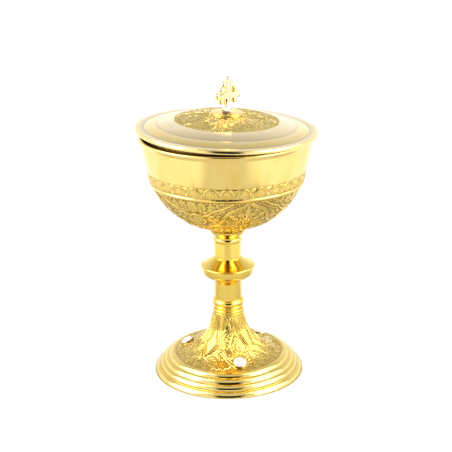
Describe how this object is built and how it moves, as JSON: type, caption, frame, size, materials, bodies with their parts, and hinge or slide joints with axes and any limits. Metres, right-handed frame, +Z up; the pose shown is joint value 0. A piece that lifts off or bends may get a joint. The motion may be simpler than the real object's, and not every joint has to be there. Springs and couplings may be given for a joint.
{
  "type": "ciborium",
  "caption": "Lidded ciborium: stepped round foot with set stones, stem with a knop, deep cup and a lift-off domed lid with a budded cross.",
  "frame": {"origin": "centre of the plane that the foot stands on", "axes": "+Z up along the stem, -Y towards the pictured front, +X to the right of the picture"},
  "size_m": [0.1291, 0.1292, 0.2214],
  "materials": {
    "gold_polished": "polished gilt",
    "gold_satin": "satin gilt",
    "gold_pale": "polished pale gilt",
    "steel": "plain turned steel",
    "crystal": "clear faceted paste"
  },
  "bodies": {
    "cup": {"foot_shell": "gold_polished", "stone_setting_1": "gold_polished", "stone_1": "crystal", "stone_setting_2": "gold_polished", "stone_2": "crystal", "stone_setting_3": "gold_polished", "stone_3": "crystal", "stem_ring": "gold_polished", "stem_tube_lower": "gold_satin", "knop_lower": "gold_polished", "knop_upper": "gold_polished", "stem_tube_upper": "gold_satin", "cup_collar": "gold_polished", "cup_boss": "gold_satin", "tie_rod": "steel", "foot_washer": "steel", "foot_nut": "steel", "cup_shell": "gold_polished"},
    "lid": {"lid_shell": "gold_pale", "lid_locating_ring": "gold_satin", "cross_seat_plate": "gold_polished", "cross": "gold_polished", "lid_washer": "steel", "lid_nut": "steel"}
  },
  "joints": [
    {"name": "lid_lift", "type": "slide", "parent": "cup", "child": "lid", "axis": [0, 0, 1], "range_m": [0, 0.08]}
  ]
}
